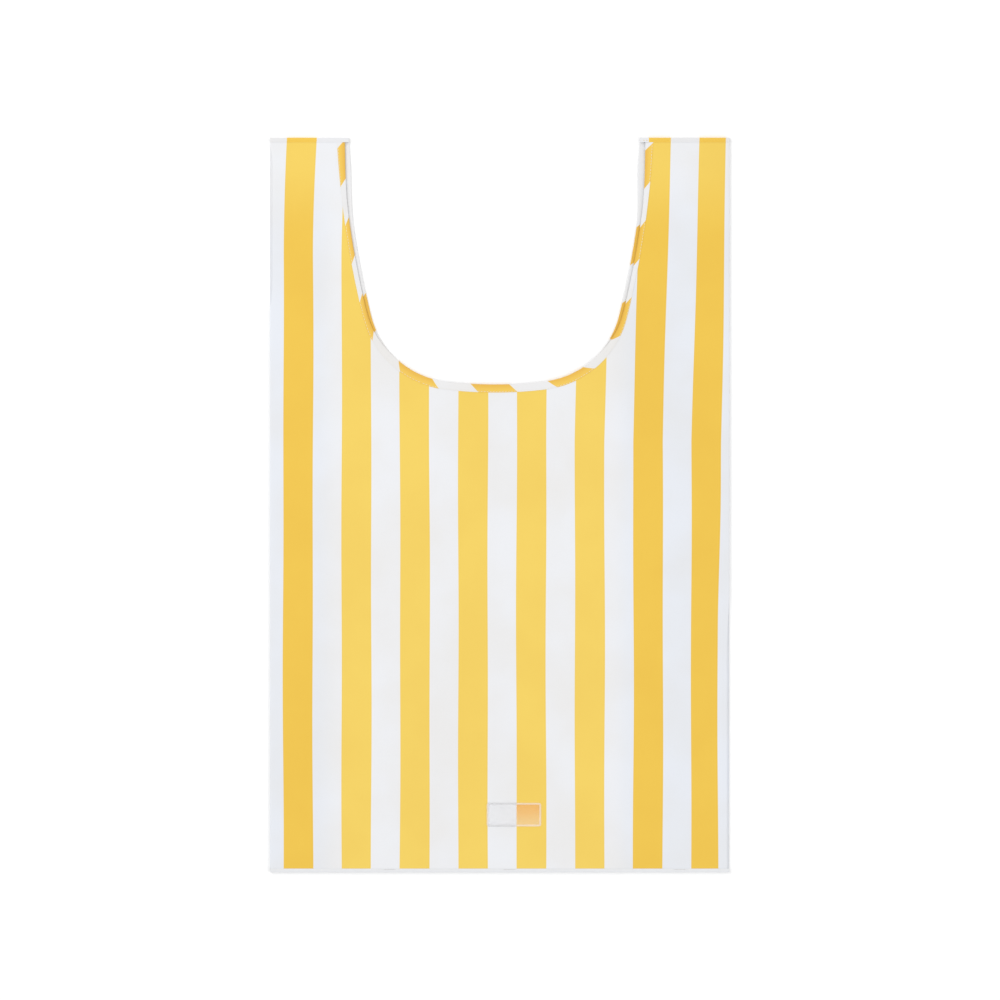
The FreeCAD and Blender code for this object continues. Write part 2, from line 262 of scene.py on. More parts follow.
# %% Lean of the stripes and ripple of the cloth
STRIPE_PITCH, STRIPE_YELLOW, FIRST_STRIPE = 50.8, 25.75, -188.5
LEFT_HANDLE_LEAN, RIGHT_LEAN_SLOPE, LAST_COLUMN_LEAN = 3.6, 0.027, -2.8
RIPPLE_BASE, WAVE, HANDLE_WAVE, RIDGE = 0.17, 0.06, 0.035, 0.10


def lean(x, y):
    """How far the stripes are pushed to the right: both handles curve over near their tops, the
    right handle from lower down, and the last column at the bottom leans back."""
    left = LEFT_HANDLE_LEAN * np.clip((y - 215.0) / 105.0, 0, 1.3) ** 1.5 * smooth(-x / 80.0)
    last_column = 1 - 0.4 * smooth((x - 178.0) / 18.0)
    right = RIGHT_LEAN_SLOPE * np.clip(y - 55.0, 0, None) * smooth(x / 110.0) * last_column
    last = LAST_COLUMN_LEAN * smooth((x - 160.0) / 30.0) * smooth((20.0 - y) / 130.0)
    wander = 0.35 * np.sin(x / 31.0 + 1.0) * np.sin(y / 83.0) + 0.25 * np.sin(y / 37.0 + x / 19.0)
    return left + right + last + wander


def ripple(x, y):
    """The cloth's height above its flat place: long soft waves that cross, shorter ones near the
    handles, a faint ridge over each hidden crease, and never below zero."""
    waves = 0.5 * np.sin(x / 23.0 + 0.9 * np.sin(y / 60.0)) * np.sin(y / 47.0 + 0.6)
    waves += 0.5 * np.sin(x / 9.5 - y / 28.0 + 1.3) * np.sin(y / 71.0 + x / 90.0)
    handle = smooth((y - 90.0) / 120.0) * np.sin(x / 6.5 + 1.2 * np.sin(y / 33.0))
    ridge = bump(np.abs(x), CREASE_X - 3.0, 9.0) * smooth((NECK_LOW_Y - y) / 30.0)
    return RIPPLE_BASE + WAVE * waves + HANDLE_WAVE * handle + RIDGE * ridge


print("ripple", ripple(np.array([0.0, 125.0]), np.array([0.0, 0.0])), "lean", lean(-175.0, 310.0))

# %% Outer edge of the front cloth
DRAWN_IN_LEFT, DRAWN_IN_RIGHT = 2.2, 1.9


def front_edge(y, side):
    """How far out the front cloth's fold is: full width, drawn in by about 2 mm high on the left
    and low on the right, where the back layer shows beside it."""
    left = DRAWN_IN_LEFT * smooth((y - 165.0) / 30.0) * smooth((316.0 - y) / 18.0)
    right = DRAWN_IN_RIGHT * smooth((-70.0 - y) / 60.0)
    return CLOTH_EDGE_X - (left if side < 0 else right)


print("front edge, left high", front_edge(240.0, -1), "right low", front_edge(-250.0, 1))

# %% [markdown]
# Every sheet is built in the same way: a grid of points in the middle of the cloth, pushed out
# along its normals by half the thickness to both sides, and closed round its rim. Blender's
# Solidify modifier would do it too, but a closed grid worked out here keeps its pattern
# coordinates on both faces and needs no clean-up.

# %% From grids to meshes


def grid_faces(n, m, start=0, flip=False):
    """The four-cornered faces of an n by m grid of points, as index rows."""
    i, j = np.meshgrid(np.arange(n - 1), np.arange(m - 1), indexing="ij")
    a = (i * m + j).ravel() + start
    quads = np.stack([a, a + m, a + m + 1, a + 1], 1)
    return quads[:, ::-1] if flip else quads


def normals_of(points):
    """Unit normals of a grid: the cross product of its slopes along the first and the second
    parameter."""
    n = np.cross(np.gradient(points, axis=0), np.gradient(points, axis=1))
    return n / np.maximum(np.linalg.norm(n, axis=2, keepdims=True), 1e-12)


def shell(points, thickness, pattern, slot=0):
    """A closed sheet: the grid plus and minus half the thickness along its normals, and a rim of
    faces that runs round the border."""
    n, m = points.shape[:2]
    half = normals_of(points) * np.asarray(thickness)[..., None] / 2
    ids = np.arange(n * m).reshape(n, m)
    rim = np.concatenate([ids[:-1, 0], ids[-1, :-1], ids[:0:-1, -1], ids[0, :0:-1]])
    nxt = np.roll(rim, -1)
    low = n * m
    sides = np.stack([rim + low, nxt + low, nxt, rim], 1)
    faces = np.concatenate([grid_faces(n, m), grid_faces(n, m, low, True), sides])
    verts = np.concatenate([(points + half).reshape(-1, 3), (points - half).reshape(-1, 3)])
    uv = np.concatenate([pattern.reshape(-1, 2)] * 2)
    return verts, faces.tolist(), uv, slot


def make_piece(name, parts, materials):
    """One mesh object from several parts in millimetres, with its pattern coordinates as a UV map
    and its rims kept crisp."""
    offsets = np.cumsum([0] + [len(p[0]) for p in parts[:-1]])
    verts = np.concatenate([p[0] for p in parts]) * MM
    uv = np.concatenate([p[2] for p in parts])
    faces = [[k + int(o) for k in f] for p, o in zip(parts, offsets) for f in p[1]]
    slots = np.concatenate([np.full(len(p[1]), p[3]) for p in parts]).astype(np.int32)
    mesh = bpy.data.meshes.new(name)
    mesh.from_pydata(verts.tolist(), [], faces)
    for material in materials:
        mesh.materials.append(material)
    mesh.polygons.foreach_set("material_index", slots)
    corner = np.empty(len(mesh.loops), np.int32)
    mesh.loops.foreach_get("vertex_index", corner)
    layer = mesh.uv_layers.new(name="cloth")
    layer.data.foreach_set("uv", uv[corner].astype(np.float32).ravel())
    mesh.polygons.foreach_set("use_smooth", np.ones(len(mesh.polygons), bool))
    mesh.set_sharp_from_angle(angle=np.radians(50))
    mesh.update()
    piece = bpy.data.objects.new(name, mesh)
    bpy.context.scene.collection.objects.link(piece)
    print(name, len(faces), "faces")
    return piece


# %% [markdown]
# The cloth is printed polyester: a satin sheen, a plain weave too fine to see from afar, and
# yellow stripes whose tone drifts a little. The stripes are worked out from the cloth's own
# coordinate, so they run round a fold and lean where the cloth leans. A picture would give the
# same stripes, but a formula stays sharp at any distance.

# %% Tools for node materials


def nodes_of(material):
    """A material's node tree, and its shader."""
    material.use_nodes = True
    tree = material.node_tree
    return tree, tree.nodes["Principled BSDF"]


def node(tree, kind, links=None, values=None, **settings):
    """A new node: its settings, the constant values of its inputs, and what is linked to them."""
    made = tree.nodes.new(kind)
    for key, value in settings.items():
        setattr(made, key, value)
    for key, value in (values or {}).items():
        made.inputs[key].default_value = value
    for key, socket in (links or {}).items():
        tree.links.new(socket, made.inputs[key])
    return made


def shade(tree, factor, dark, light):
    """A colour between two, by a factor."""
    return node(
        tree, "ShaderNodeMix", {0: factor}, {6: (*dark, 1.0), 7: (*light, 1.0)}, data_type="RGBA"
    ).outputs[2]


def shade_by(tree, factor, low, high):
    """A constant colour where the factor is 0, and a node's colour where it is 1."""
    return node(
        tree, "ShaderNodeMix", {0: factor, 7: high}, {6: (*low, 1.0)}, data_type="RGBA"
    ).outputs[2]


def tinted(tree, colour, tint):
    """One colour times another."""
    return node(
        tree, "ShaderNodeMix", {6: colour, 7: tint}, {0: 1.0}, data_type="RGBA", blend_type="MULTIPLY"
    ).outputs[2]


def smooth_range(tree, value, low, high, start=0.0, end=1.0):
    """A smooth step of a value, from start at low to end at high."""
    return node(
        tree, "ShaderNodeMapRange", {0: value}, {1: low, 2: high, 3: start, 4: end},
        interpolation_type="SMOOTHSTEP",
    ).outputs[0]


def maths(tree, operation, a, b):
    """One sum of two node values, or of a node value and a number."""
    links, values = {0: a}, {}
    (values if isinstance(b, float) else links)[1] = b
    return node(tree, "ShaderNodeMath", links, values, operation=operation).outputs[0]


def stripe_mask(tree, across, share, softness):
    """1 on a stripe and 0 beside it: how far the fraction of a coordinate is from its middle,
    against half the stripe's share."""
    off = maths(tree, "ABSOLUTE", maths(tree, "SUBTRACT", maths(tree, "FRACT", across, 0.0), 0.5), 0.0)
    return smooth_range(tree, off, share / 2 - softness, share / 2 + softness, 1.0, 0.0)


def outer_tone_painted_top_light(tree, place):
    """1 over the outer columns, where the colour is darker, and 0 over the middle. Up the handles it
    falls to 0.15: painted light, the handles' tops lighter where they curve towards the lamp."""
    xyz = node(tree, "ShaderNodeSeparateXYZ", {0: place})
    left = smooth_range(tree, xyz.outputs[0], -0.162, -0.138, 1.0, 0.0)
    right = smooth_range(tree, xyz.outputs[0], 0.095, 0.119)
    # Painted light: the handles' tops are kept lighter, where the cloth curves up towards the lamp.
    high = smooth_range(tree, xyz.outputs[1], 0.225, 0.305, 1.0, 0.15)
    return maths(tree, "MULTIPLY", maths(tree, "ADD", left, right), high)


PURE_WHITE = (1.0, 1.0, 1.0)
THREADS_SCALE = 620.0


def striped_cloth(name, share, yellow, white, roughness, weave=0.12, rim=False):
    """Cloth with stripes along its first pattern coordinate: yellow where the coordinate's
    fraction is within half the share of its middle. yellow and white each give a colour for the
    middle and a darker one for the outer columns, and painted light brings the handles' tops back
    near the first. Mottling drifts them, and two fine crossed waves make the weave. With rim,
    painted shade deepens the colour towards the start of the second coordinate, on a rolled edge."""
    material = bpy.data.materials.new(name)
    tree, shader = nodes_of(material)
    uv = node(tree, "ShaderNodeUVMap", uv_map="cloth")
    place = node(tree, "ShaderNodeTexCoord").outputs["Object"]
    split = node(tree, "ShaderNodeSeparateXYZ", {0: uv.outputs[0]})
    mask = stripe_mask(tree, split.outputs[0], share, 0.006)
    # Darker over the outer columns, with painted light on the handles' tops.
    outer_tone_top_light = outer_tone_painted_top_light(tree, place)
    stripe = shade(tree, outer_tone_top_light, *yellow)
    ground = shade(tree, outer_tone_top_light, *white)
    colour = node(
        tree, "ShaderNodeMix", {0: mask, 6: ground, 7: stripe}, data_type="RGBA"
    ).outputs[2]
    drift = node(tree, "ShaderNodeTexNoise", {0: place}, {2: 11.0, 3: 3.0, 4: 0.55}).outputs[0]
    drift = smooth_range(tree, drift, 0.32, 0.68)
    colour = tinted(tree, colour, shade(tree, drift, (0.975, 0.955, 0.92), PURE_WHITE))
    # Painted shade: over the yellow blocks the tape darkens towards its rolled edge at the neck.
    if rim:
        inwards = smooth_range(tree, split.outputs[1], 0.05, 0.75)
        rolled_edge_shade = shade(tree, inwards, (0.93, 0.84, 0.74), PURE_WHITE)
        colour = tinted(tree, colour, shade_by(tree, mask, (0.975, 0.975, 0.975), rolled_edge_shade))
    tree.links.new(colour, shader.inputs["Base Color"])
    along, cross = (
        node(
            tree, "ShaderNodeTexWave", {0: place}, {1: THREADS_SCALE, 2: 0.4}, bands_direction=way
        ).outputs[1]
        for way in ("X", "Y")
    )
    woven = node(tree, "ShaderNodeMath", {0: along, 1: cross}, operation="MULTIPLY").outputs[0]
    crush = node(tree, "ShaderNodeTexNoise", {0: place}, {2: 55.0, 3: 4.0, 4: 0.6}).outputs[0]
    fine = node(tree, "ShaderNodeBump", {"Height": woven}, {"Strength": weave, "Distance": 0.0001})
    soft = node(
        tree, "ShaderNodeBump", {"Height": crush, "Normal": fine.outputs[0]},
        {"Strength": 0.22, "Distance": 0.0012},
    )
    tree.links.new(soft.outputs[0], shader.inputs["Normal"])
    shader.inputs["Roughness"].default_value = roughness
    shader.inputs["Specular IOR Level"].default_value = 0.35
    shader.inputs["Sheen Weight"].default_value = 0.12
    shader.inputs["Sheen Roughness"].default_value = 0.4
    return material


CLOTH_SHARE = STRIPE_YELLOW / STRIPE_PITCH
# Each pair: the middle's colour, then the darker one of the outer columns, which painted light fades out at
# the handles' tops.
YELLOW = ((0.818, 0.582, 0.105), (0.785, 0.508, 0.060))
WHITE = ((0.762, 0.772, 0.800), (0.722, 0.748, 0.800))
TAPE_YELLOW = ((0.810, 0.535, 0.092), (0.795, 0.515, 0.075))
TAPE_WHITE = ((0.770, 0.772, 0.785), (0.765, 0.770, 0.785))
# The seam cloth's darker tones are painted shade along the handles' top seams; the side ribs share them.
SHADED_SEAM_YELLOW = ((0.805, 0.525, 0.070), (0.790, 0.500, 0.060))
SHADED_SEAM_WHITE = ((0.730, 0.735, 0.755), (0.725, 0.735, 0.755))
CLOTH_LOOK = striped_cloth("striped cloth", CLOTH_SHARE, YELLOW, WHITE, 0.55)
TAPE_LOOK = striped_cloth("bias tape", 0.5, TAPE_YELLOW, TAPE_WHITE, 0.6, 0.2, rim=True)
SHADED_SEAM_LOOK = striped_cloth("seam cloth with painted shade", CLOTH_SHARE, SHADED_SEAM_YELLOW, SHADED_SEAM_WHITE, 0.62, 0.2)
print("cloth looks", [m.name for m in (CLOTH_LOOK, TAPE_LOOK, SHADED_SEAM_LOOK)])

# %% Thread, painted gap shadow, white seam and floor


def plain_look(name, low, high, scale, roughness):
    """One colour that drifts between two tones, with a fine grain."""
    material = bpy.data.materials.new(name)
    tree, shader = nodes_of(material)
    place = node(tree, "ShaderNodeTexCoord").outputs["Object"]
    grain = node(tree, "ShaderNodeTexNoise", {0: place}, {2: scale, 3: 4.0}).outputs[0]
    tree.links.new(shade(tree, grain, low, high), shader.inputs["Base Color"])
    relief = node(tree, "ShaderNodeBump", {"Height": grain}, {"Strength": 0.2, "Distance": 0.0002})
    tree.links.new(relief.outputs[0], shader.inputs["Normal"])
    shader.inputs["Roughness"].default_value = roughness
    return material


THREAD_LOOK = plain_look("thread", (0.72, 0.70, 0.66), (0.84, 0.82, 0.78), 900.0, 0.6)
# Painted shadow: grey marks stand for the shade in short gaps along the bottom seam.
GAP_SHADOW_LOOK = plain_look("painted gap shadow", (0.45, 0.44, 0.45), (0.58, 0.57, 0.58), 900.0, 0.6)
WHITE_SEAM_LOOK = plain_look("white seam", (0.68, 0.69, 0.71), (0.75, 0.76, 0.78), 260.0, 0.6)
FLOOR_LOOK = plain_look("pale card", (0.955, 0.955, 0.955), (0.965, 0.965, 0.965), 4.0, 0.9)

FLOOR_HALF = 3.0
floor_mesh = bpy.data.meshes.new("floor")
floor_corners = [(sx * FLOOR_HALF, sy * FLOOR_HALF, 0) for sx, sy in ((-1, -1), (1, -1), (1, 1), (-1, 1))]
floor_mesh.from_pydata(floor_corners, [], [(0, 1, 2, 3)])
floor_mesh.materials.append(FLOOR_LOOK)
floor = bpy.data.objects.new("floor", floor_mesh)
bpy.context.scene.collection.objects.link(floor)
print("floor ready")

# %% [markdown]
# The cloth's pattern coordinate counts stripes from the left. Round the side fold it keeps
# counting, because the gusset is the same piece of cloth.

# %% Pattern coordinate and flat area


def stripe_count(x, y, leaning=1.0):
    """Stripes counted along the cloth, with a yellow stripe's middle at every half: the place
    minus the lean, in pitches, and the height in pitches as the second coordinate."""
    u = (x - leaning * lean(x, y) - FIRST_STRIPE - STRIPE_YELLOW / 2) / STRIPE_PITCH + 0.5
    return np.stack([u, y / STRIPE_PITCH], 2)


# %% [markdown]
# ## Front cloth
# The middle of the front is one gently rippled sheet under the scoop. It is split from the sides
# along the two lines where the bag folds, because the sides turn over there.

# %% Front cloth, middle
GRID = 3.0
FRONT_COLUMNS, FRONT_ROWS = 46, 150


def steps(start, end, step=GRID):
    """Places from start to end, about one step apart."""
    return np.linspace(start, end, int(np.ceil(abs(end - start) / step)) + 1)


def crossed(columns, rows):
    """Two parameters on a grid: the first runs across and the second runs up."""
    return np.meshgrid(columns, rows, indexing="ij")


def cloth_piece(name, x, y, z, pattern, thickness=CLOTH, look=CLOTH_LOOK):
    """A sheet over a grid of places, as a piece."""
    return make_piece(name, [shell(np.stack([x, y, z], 2), thickness, pattern)], [look])


def front_middle():
    """x runs between the folds, and y runs from the bottom seam to the neck above x."""
    x, t = crossed(np.linspace(-FOLD_X, FOLD_X, FRONT_COLUMNS), np.linspace(0.0, 1.0, FRONT_ROWS))
    y = CLOTH_BOTTOM_Y + (neck_height(x, "front") - CLOTH_BOTTOM_Y) * t
    return x, y, FRONT_MID_Z + ripple(x, y)


x, y, z = front_middle()
front_cloth_centre = cloth_piece("front_cloth_centre", x, y, z, stripe_count(x, y))
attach(front_cloth_centre, "front_centre")
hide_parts("front_panel_centre")

# %% [markdown]
# Each side of the front runs out to the fold at the bag's edge and round it, where the gusset
# starts. The turn is a half circle added to the end of the grid.

# %% A sheet that ends in a fold
TURN = np.radians(np.linspace(0.0, 180.0, 9)[1:])
TURN_BACK = 0.7


def folded_sheet(inner, outer, y, side, z, turn_to):
    """Columns run from the inner edge to the outer fold, then round a half circle to the height
    turn_to and a little way back. Returns x, y, z and the place on the flat cloth."""
    radius = np.abs(turn_to - z[-1:, :]) / 2
    way = np.sign(turn_to - z[-1:, :])
    count = y.shape[0]
    a = np.linspace(0.0, 1.0, count)[:, None]
    flat_x = inner + (outer - radius[0] - inner) * a
    arc_x = flat_x[-1:] + radius * np.sin(TURN)[:, None]
    arc_z = z[-1:] + way * radius * (1 - np.cos(TURN)[:, None])
    end_x = arc_x[-1:] - TURN_BACK
    out_x = np.concatenate([flat_x, arc_x, end_x])
    out_y = np.concatenate([y, np.repeat(y[-1:], len(TURN) + 1, 0)])
    out_z = np.concatenate([z, arc_z, arc_z[-1:]])
    arc_cloth = flat_x[-1:] + radius * TURN[:, None]
    cloth = np.concatenate([flat_x, arc_cloth, arc_cloth[-1:] + TURN_BACK])
    return side * out_x, out_y, out_z, side * cloth


def ordered(side, *grids):
    """On the left the columns run from the middle outwards, to the left, so they are turned
    round to keep every face's outside up."""
    return grids if side > 0 else tuple(g[::-1] for g in grids)


# %% Front cloth, sides


def front_side(side):
    """x runs from the fold line to the edge, and y from the bottom to the neck, or to the handle
    fold where that is lower."""
    x, t = crossed(np.linspace(FOLD_X, EDGE_X, FRONT_COLUMNS), np.linspace(0.0, 1.0, FRONT_ROWS))
    top = np.minimum(neck_height(side * x, "front"), HANDLE_FOLD_Y)
    y = CLOTH_BOTTOM_Y + (top - CLOTH_BOTTOM_Y) * t
    z = FRONT_MID_Z + ripple(side * x, y)
    return folded_sheet(FOLD_X, front_edge(y[-1], side), y, side, z, GUSSET_FRONT_Z)


for word, side in SIDES.items():
    x, y, z, cloth = ordered(side, *front_side(side))
    piece = cloth_piece(f"front_cloth_{word}", x, y, z, stripe_count(cloth, y))
    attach(piece, f"front_{word}")
    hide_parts(f"front_panel_{word}")

# %% [markdown]
# The handles are the same cloth, narrower. They bend in two places: at the handle fold, and a
# little above it, where the straps tilt together when the mouth opens. A front strap is one sheet
# across both places.

# %% Handles, front and back


STRAP_COLUMNS, LINING_COLUMNS = 25, 23


def strap_cloth(side, y0, y1, z_level, turn_to, layer):
    """Rows run up from y0 to y1. Columns run from the neck's edge to the outer fold."""
    a, y = crossed(np.linspace(0.0, 1.0, STRAP_COLUMNS), steps(y0, y1))
    inner = side * neck_side(y[0], side, layer)
    outer = front_edge(y[0], side) if layer == "front" else np.full(y.shape[1], CLOTH_EDGE_X)
    x = inner + (outer - inner) * a
    z = z_level + (ripple(side * x, y) if layer == "front" else 0.0 * x)
    return folded_sheet(inner, outer, y, side, z, turn_to)


def strap_piece(name, word, y0, y1, z_level, turn_to, layer, node_names):
    """A stretch of strap as a piece, tied to no body."""
    side = SIDES[word]
    x, y, z, cloth = ordered(side, *strap_cloth(side, y0, y1, z_level, turn_to, layer))
    piece = cloth_piece(name, x, y, z, stripe_count(cloth, y))
    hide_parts(*node_names)
    return piece


for word in SIDES:
    piece = strap_piece(
        f"front_handle_{word}", word, HANDLE_FOLD_Y, SEAM_Y, FRONT_MID_Z, GUSSET_FRONT_Z, "front",
        [f"front_shoulder_{word}", f"front_strap_{word}"],
    )
    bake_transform(piece)

# %% [markdown]
# ## Back cloth
# The back lies on the floor. It is cut where the bending areas end, not at the fold lines.

# %% Back cloth, body halves
BACK_CUT_Y = HANDLE_FOLD_Y - 10.0
BACK_COLUMNS, BACK_ROWS = 76, 151


def back_half(side):
    """x runs from the middle to the edge, and y from the bottom to the neck or the cut."""
    x, t = crossed(np.linspace(0.0, CLOTH_EDGE_X, BACK_COLUMNS), np.linspace(0.0, 1.0, BACK_ROWS))
    top = np.minimum(neck_height(side * x, "back"), BACK_CUT_Y)
    y = CLOTH_BOTTOM_Y + (top - CLOTH_BOTTOM_Y) * t
    z = np.full_like(x, BACK_Z)
    return folded_sheet(0.0, np.full(BACK_ROWS, CLOTH_EDGE_X), y, side, z, GUSSET_BACK_Z)


for word, side in SIDES.items():
    x, y, z, cloth = ordered(side, *back_half(side))
    nodes = [f"back_panel_{word}"] + (["back_panel_centre"] if word == "left" else [])
    piece = cloth_piece(f"back_cloth_{word}", x, y, z, stripe_count(cloth, y, 0.0))
    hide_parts(*nodes)
    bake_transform(piece)

# %% Back cloth, shoulders and handles
for word in SIDES:
    piece = strap_piece(
        f"back_shoulder_cloth_{word}", word, BACK_CUT_Y, BEND_Y, BACK_Z, GUSSET_BACK_Z, "back",
        [f"back_shoulder_{word}"],
    )
    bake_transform(piece)
    piece = strap_piece(
        f"back_handle_{word}", word, BEND_Y, SEAM_Y, BACK_Z, GUSSET_BACK_Z, "back",
        [f"back_strap_{word}"],
    )
    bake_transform(piece)

# %% [markdown]
# ## Gussets
# Between the front and the back each side is folded in like a bellows. When the mouth opens, the
# bellows opens with it: its outer edges stay on the two cloths, and its crease stays halfway.
# One thin sheet is built for it, whose height at rest is set from how much each point should
# follow the front. The two halves of the grid meet at the crease, where a weld makes them one.

# %% Gusset folded like a V
LOW_Z, HIGH_Z = GUSSET_BACK_Z, GUSSET_FRONT_Z
ARM_BLEND = 2 * (HANDLE_FOLD_Y - NECK_LOW_Y)
GUSSET_COLUMNS, CREASE_START = 27, 0.9
WELD_GAP = 0.002


def height_for(weight):
    """The height whose smooth step between LOW_Z and HIGH_Z is the weight: the smooth step's
    inverse is one half minus the sine of a third of the arcsine of one minus two weights."""
    t = 0.5 - np.sin(np.arcsin(np.clip(1 - 2 * weight, -1, 1)) / 3)
    return LOW_Z + (HIGH_Z - LOW_Z) * t


def crease_weight(y):
    """One half up to the armhole, then falling to 0 at the handle fold."""
    return smooth((HANDLE_FOLD_Y - y) / ARM_BLEND)


def gusset_sheet(side):
    """Columns run from the back's outer fold in to the crease and out again to the front's. Rows
    run up. The weight grows evenly from the fold to near the crease."""
    across = np.concatenate([np.linspace(-1, 0, GUSSET_COLUMNS), np.linspace(0, 1, GUSSET_COLUMNS)])
    q, y = crossed(across, steps(CLOTH_BOTTOM_Y, HANDLE_FOLD_Y, 4.0))
    inner = np.where(y > NECK_LOW_Y, armhole_side(y, side), CREASE_X)
    near = 1 - np.abs(q)
    x = (EDGE_X - TURN_BACK) + (inner - EDGE_X + TURN_BACK) * near
    weight = np.minimum(1.0, near / CREASE_START) * np.where(y < NECK_LOW_Y, 0.5, crease_weight(y))
    half = q.shape[0] // 2
    weight[half:] = 1 - weight[half:]
    cloth = EDGE_X + (EDGE_X - x)
    return side * x, y, height_for(weight), side * cloth


for word, side in SIDES.items():
    x, y, z, cloth = gusset_sheet(side)
    points = np.stack([x, y, z], 2)
    n, m = points.shape[:2]
    pattern = stripe_count(cloth, y, 0.0).reshape(-1, 2)
    faces = grid_faces(n, m)
    faces = faces[faces[:, 0] // m != n // 2 - 1][:, ::side]
    piece = make_piece(f"gusset_{word}", [(points.reshape(-1, 3), faces.tolist(), pattern, 0)], [CLOTH_LOOK])
    merge = piece.modifiers.new("weld", "WELD")
    merge.merge_threshold = WELD_GAP * MM
    bpy.context.view_layer.update()
    welded = bpy.data.meshes.new_from_object(piece.evaluated_get(bpy.context.evaluated_depsgraph_get()))
    piece.modifiers.clear()
    piece.data = welded
    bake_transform(piece)

# %% Gusset halves inside the handles


LINING_INSET, LINING_SLACK = 0.4, 0.2


def strap_gusset(side, z_level, y0):
    """Rows run up the handle. Columns run from the armhole's edge out to the fold."""
    a, y = crossed(np.linspace(0.0, 1.0, LINING_COLUMNS), steps(y0, SEAM_Y))
    inner = armhole_side(y, side) + LINING_INSET
    x = inner + (EDGE_X - TURN_BACK - LINING_SLACK - inner) * a
    return side * x, y, np.full_like(x, z_level), side * (2 * EDGE_X - x)


for layer, z_level in (("back", GUSSET_BACK_Z), ("front", GUSSET_FRONT_Z)):
    for word, side in SIDES.items():
        x, y, z, cloth = ordered(side, *strap_gusset(side, z_level, HANDLE_FOLD_Y))
        pattern = stripe_count(cloth, y, 0.0)
        piece = cloth_piece(f"{layer}_handle_lining_{word}", x, y, z, pattern, LINING)
        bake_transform(piece)

# %% [markdown]
# ## Bias tape
# The neck's raw edge is bound with a strip of the same cloth, cut at a slant, so its stripes come
# out as slanted blocks. The strip is folded round the edge like a long U, and a line of stitches
# holds it. The U is drawn once across, and carried along the neck's curve.

# %% The tape's section carried along the neck
TAPE_WIDTH = 7.0
TAPE_PERIOD, TAPE_START = 67.25, 2.0
PLAIN_WHITE, PLAIN_LATER_WHITE = 2.0, 8.0
PINCH, BACK_LIFT, PUCKER = 0.55, 0.6, 0.05
STITCH_DEPTH, TURN_INSET = 6.2, 0.06
BACK_TAPE_PLAIN = (-172.0, 230.0)
CUT_SAMPLES = 1500


def tape_section():
    """The U across the tape: along the lower wall to the edge, round it in a half circle whose
    depth is the radius times one minus the cosine, and back along the upper wall. Gives the depth
    into the cloth and the height."""
    wall = np.array([TAPE_WIDTH, STITCH_DEPTH, 4.2, 2.2, 0.9])
    angle = np.radians(np.linspace(-90.0, 90.0, 9))
    r = TAPE_HALF_GAP
    turn = r * (1 - np.cos(angle)) + TURN_INSET
    depth = np.concatenate([wall, turn, wall[::-1]])
    height = np.concatenate([np.full(len(wall), -r), r * np.sin(angle), np.full(len(wall), r)])
    return depth, height


def tape_depth(p, depth, height, layer):
    """How far into the cloth a point of the U lies: its depth plus the layer's shift. The upper
    wall of a rolled edge is shorter, so that its inner edge stays TAPE_WIDTH from the neck."""
    shift = layer_shift(p, layer)
    shorter = np.where((height > 0) & (layer == "front"), 1.0 - shift / TAPE_WIDTH, 1.0)
    return shift + depth * shorter


def cut_at(depth, height, layer, axis, value, p_from, p_to):
    """The distance along the neck where a point of the U crosses a straight line."""
    p = np.linspace(p_from, p_to, CUT_SAMPLES)
    place = neck_point(p, tape_depth(p, depth, height, layer))[axis]
    order = np.argsort(place)
    return np.interp(value, place[order], p[order])


def tape_strip(ends, mid_z, layer):
    """The U between two ends, each cut square to the bag. Ends are (axis, value, from, to) or a
    plain distance. The edge is pinched down on the front and lifted on the back. Returns the
    points, the pattern and the distance along the neck."""
    depth, height = tape_section()
    starts, stops = (
        np.array([e if np.isscalar(e) else cut_at(d, h, layer, *e) for d, h in zip(depth, height)])
        for e in ends
    )
    count = int(np.ceil(abs(stops.mean() - starts.mean()) / 2.0)) + 2
    t = np.linspace(0.0, 1.0, count)[:, None]
    p = starts[None, :] + (stops - starts)[None, :] * t
    w = np.repeat(depth[None, :], count, 0)
    x, y = neck_point(p, tape_depth(p, w, height[None, :], layer))
    pinch = smooth(1.0 - w / 5.0)
    pucker = PUCKER * np.sin(p / 1.15) * smooth(w - 2.0)
    z = mid_z + height[None, :]
    z = z + (ripple(x, y) + pucker - PINCH * pinch if layer == "front" else BACK_LIFT * pinch)
    u = (p + NECK_HALF - w - TAPE_START) / TAPE_PERIOD + 0.25
    if layer == "back":
        plain_left, plain_right = p < BACK_TAPE_PLAIN[0], p > BACK_TAPE_PLAIN[1]
        u = np.where(plain_left, PLAIN_WHITE, np.where(plain_right, PLAIN_LATER_WHITE, u))
    return np.stack([x, y, z], 2), np.stack([u, w / TAPE_WIDTH], 2), p


# %% Stitches as small rounded threads
STITCH_STEP, STITCH_LENGTH, STITCH_RADIUS = 2.6, 1.9, 0.14
STITCH_ANGLES = np.radians(np.arange(0, 360, 60))


